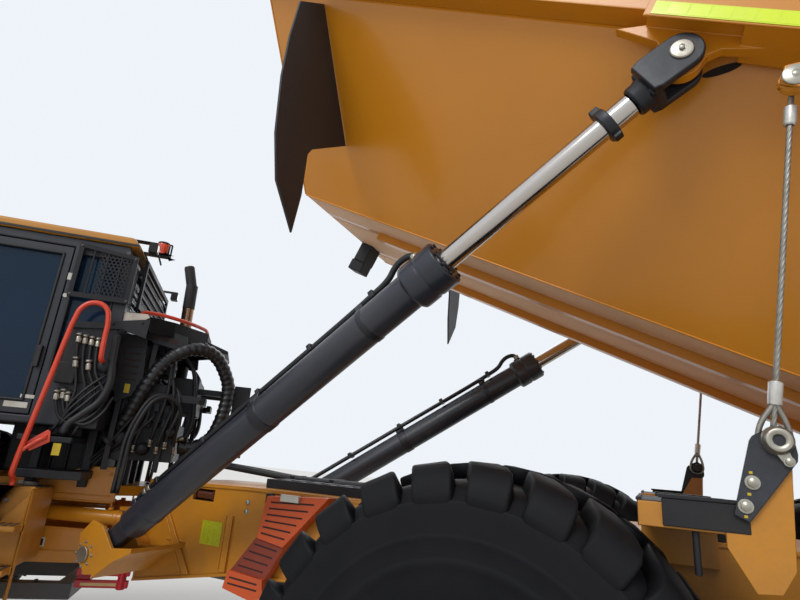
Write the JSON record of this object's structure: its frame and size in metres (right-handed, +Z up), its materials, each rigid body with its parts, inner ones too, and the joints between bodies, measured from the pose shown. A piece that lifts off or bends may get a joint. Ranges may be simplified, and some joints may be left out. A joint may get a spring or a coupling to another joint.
{
  "type": "articulated dump truck",
  "caption": "Three-axle dump truck hinged behind its cab, with a flared tipping bed on two long hydraulic cylinders, large lugged tyres and a tailgate held by wire ropes.",
  "frame": {"origin": "middle of the bounding box on the ground, in the pose as built", "axes": "+X forward along the rear frame, +Y to the left, +Z up"},
  "size_m": [11.2643, 5.2304, 5.0873],
  "materials": {
    "paint": "satin",
    "dark_paint": "satin",
    "cylinder_paint": "satin",
    "chrome_rod": "polished",
    "steel": "brushed",
    "rubber": "matte",
    "tyre": "matte",
    "red_paint": "satin",
    "tape": "matte",
    "glass": "clear",
    "lens": "gloss",
    "seat": "matte"
  },
  "bodies": {
    "rear_frame": {"rear_frame": "paint", "frame_brackets": "paint", "frame_trays": "dark_paint", "rope_anchors": "dark_paint", "wheel_chock": "red_paint", "frame_reflectors": "tape", "bogie_beams": "dark_paint", "rear_axles": "dark_paint", "propshafts": "steel", "gate_ropes": "steel"},
    "tractor": {"tractor_frame": "paint", "articulation_lock": "red_paint", "front_axle": "dark_paint", "cab_shell": "dark_paint", "cab_roof": "paint", "cab_glass": "glass", "cab_seat": "seat", "window_guards": "dark_paint", "lamps": "lens", "exhaust_stack": "steel", "handrails": "red_paint", "rear_machinery": "dark_paint", "rear_hoses": "rubber", "grille": "dark_paint", "engine_block": "steel", "fenders": "paint", "bumper": "dark_paint", "mirrors": "dark_paint", "side_tanks": "dark_paint"},
    "cab_door": {"cab_door": "dark_paint", "door_glass": "glass"},
    "hood": {"hood": "paint"},
    "bed": {"bed_shell": "paint", "bed_rails": "paint", "rail_tape": "tape", "bed_flaps": "rubber", "bed_brackets": "dark_paint"},
    "tailgate": {"tailgate": "paint"},
    "hoist_ball_left": {"hoist_ball_left": "steel"},
    "hoist_ball_right": {"hoist_ball_right": "steel"},
    "hoist_barrel_left": {"hoist_barrel_left": "cylinder_paint"},
    "hoist_barrel_right": {"hoist_barrel_right": "cylinder_paint"},
    "hoist_rod_left": {"hoist_rod_left": "chrome_rod"},
    "hoist_rod_right": {"hoist_rod_right": "chrome_rod"},
    "steer_barrel_left": {"steer_barrel_left": "cylinder_paint"},
    "steer_barrel_right": {"steer_barrel_right": "cylinder_paint"},
    "steer_rod_left": {"steer_rod_left": "chrome_rod"},
    "steer_rod_right": {"steer_rod_right": "chrome_rod"},
    "wheel_front_left": {"tyre_front_left": "tyre", "rim_front_left": "paint"},
    "wheel_front_right": {"tyre_front_right": "tyre", "rim_front_right": "paint"},
    "wheel_mid_left": {"tyre_mid_left": "tyre", "rim_mid_left": "paint"},
    "wheel_mid_right": {"tyre_mid_right": "tyre", "rim_mid_right": "paint"},
    "wheel_rear_left": {"tyre_rear_left": "tyre", "rim_rear_left": "paint"},
    "wheel_rear_right": {"tyre_rear_right": "tyre", "rim_rear_right": "paint"}
  },
  "joints": [
    {"name": "steering", "type": "hinge", "parent": "rear_frame", "child": "tractor", "pos_m": [1.79665, -0.8752, 1.288], "axis": [0, 0, 1], "range_deg": [-85, 5]},
    {"name": "bed_tip", "type": "hinge", "parent": "rear_frame", "child": "bed", "pos_m": [-3.70335, -0.8752, 1.6], "axis": [0, -1, 0], "range_deg": [-25, 40], "deforming": ["gate_ropes"]},
    {"name": "tailgate_swing", "type": "hinge", "parent": "bed", "child": "tailgate", "pos_m": [-3.96513, -0.8752, 2.98956], "axis": [0, 1, 0], "range_deg": [-23.5, 37]},
    {"name": "cab_door_swing", "type": "hinge", "parent": "tractor", "child": "cab_door", "pos_m": [2.78322, 1.03872, 2.5], "axis": [0, 0, -1], "range_deg": [0, 75]},
    {"name": "hood_tilt", "type": "hinge", "parent": "tractor", "child": "hood", "pos_m": [4.83019, 1.67024, 1.56], "axis": [-0.6428, 0.766, 0], "range_deg": [0, 60]},
    {"name": "hoist_ball_left_turn", "type": "hinge", "parent": "rear_frame", "child": "hoist_ball_left", "pos_m": [1.43965, -0.0852, 1.095], "axis": [0.6078, -0.1616, 0.7775], "range_deg": [-61.59, 97.34]},
    {"name": "hoist_barrel_left_turn", "type": "hinge", "parent": "hoist_ball_left", "child": "hoist_barrel_left", "pos_m": [1.43965, -0.0852, 1.095], "axis": [0.6763, -0.2028, 0.7082], "range_deg": [-95.58, 60.49]},
    {"name": "hoist_rod_left_slide", "type": "slide", "parent": "hoist_barrel_left", "child": "hoist_rod_left", "axis": [-0.8203, 0.1601, 0.5491], "range_m": [-1.0219, 1.632]},
    {"name": "steer_barrel_left_turn", "type": "hinge", "parent": "rear_frame", "child": "steer_barrel_left", "pos_m": [1.48665, -0.3152, 1.288], "axis": [0, 0, 1], "range_deg": [-68.14, 5.89]},
    {"name": "steer_rod_left_slide", "type": "slide", "parent": "steer_barrel_left", "child": "steer_rod_left", "axis": [0.9307, 0.3658, 0], "range_m": [-0.0501, 0.7724]},
    {"name": "wheel_front_left_spin", "type": "hinge", "parent": "tractor", "child": "wheel_front_left", "pos_m": [2.55815, 1.4843, 0.937], "axis": [-0.6428, 0.766, 0], "continuous": true},
    {"name": "wheel_mid_left_spin", "type": "hinge", "parent": "rear_frame", "child": "wheel_mid_left", "pos_m": [-1.40335, 0.4428, 0.937], "axis": [0, 1, 0], "continuous": true},
    {"name": "wheel_rear_left_spin", "type": "hinge", "parent": "rear_frame", "child": "wheel_rear_left", "pos_m": [-3.34335, 0.4428, 0.937], "axis": [0, 1, 0], "continuous": true},
    {"name": "hoist_ball_right_turn", "type": "hinge", "parent": "rear_frame", "child": "hoist_ball_right", "pos_m": [1.43965, -1.6652, 1.095], "axis": [-0.6078, -0.1616, -0.7775], "range_deg": [-61.59, 97.34]},
    {"name": "hoist_barrel_right_turn", "type": "hinge", "parent": "hoist_ball_right", "child": "hoist_barrel_right", "pos_m": [1.43965, -1.6652, 1.095], "axis": [-0.6763, -0.2028, -0.7082], "range_deg": [-95.58, 60.49]},
    {"name": "hoist_rod_right_slide", "type": "slide", "parent": "hoist_barrel_right", "child": "hoist_rod_right", "axis": [-0.8203, -0.1601, 0.5491], "range_m": [-1.0219, 1.632]},
    {"name": "steer_barrel_right_turn", "type": "hinge", "parent": "rear_frame", "child": "steer_barrel_right", "pos_m": [1.48665, -1.4352, 1.288], "axis": [0, 0, 1], "range_deg": [-64.14, 5.66]},
    {"name": "steer_rod_right_slide", "type": "slide", "parent": "steer_barrel_right", "child": "steer_rod_right", "axis": [0.7731, 0.6343, 0], "range_m": [-0.6593, 0.0435]},
    {"name": "wheel_front_right_spin", "type": "hinge", "parent": "tractor", "child": "wheel_front_right", "pos_m": [4.25254, -0.53499, 0.937], "axis": [-0.6428, 0.766, 0], "continuous": true},
    {"name": "wheel_mid_right_spin", "type": "hinge", "parent": "rear_frame", "child": "wheel_mid_right", "pos_m": [-1.40335, -2.1932, 0.937], "axis": [0, 1, 0], "continuous": true},
    {"name": "wheel_rear_right_spin", "type": "hinge", "parent": "rear_frame", "child": "wheel_rear_right", "pos_m": [-3.34335, -2.1932, 0.937], "axis": [0, 1, 0], "continuous": true}
  ],
  "couplings": [
    {"joint": "tailgate_swing", "follows": "bed_tip", "ratio": 0.9},
    {"joint": "hoist_ball_left_turn", "follows": "bed_tip", "ratio": 2.3835},
    {"joint": "hoist_barrel_left_turn", "follows": "bed_tip", "ratio": -2.3395},
    {"joint": "hoist_rod_left_slide", "follows": "bed_tip", "m_per_rad": 2.3305},
    {"joint": "steer_barrel_left_turn", "follows": "steering", "ratio": 0.77817},
    {"joint": "steer_rod_left_slide", "follows": "steering", "m_per_rad": -0.51726},
    {"joint": "hoist_ball_right_turn", "follows": "bed_tip", "ratio": 2.3835},
    {"joint": "hoist_barrel_right_turn", "follows": "bed_tip", "ratio": -2.3395},
    {"joint": "hoist_rod_right_slide", "follows": "bed_tip", "m_per_rad": 2.3305},
    {"joint": "steer_barrel_right_turn", "follows": "steering", "ratio": 0.73111},
    {"joint": "steer_rod_right_slide", "follows": "steering", "m_per_rad": 0.44107}
  ]
}
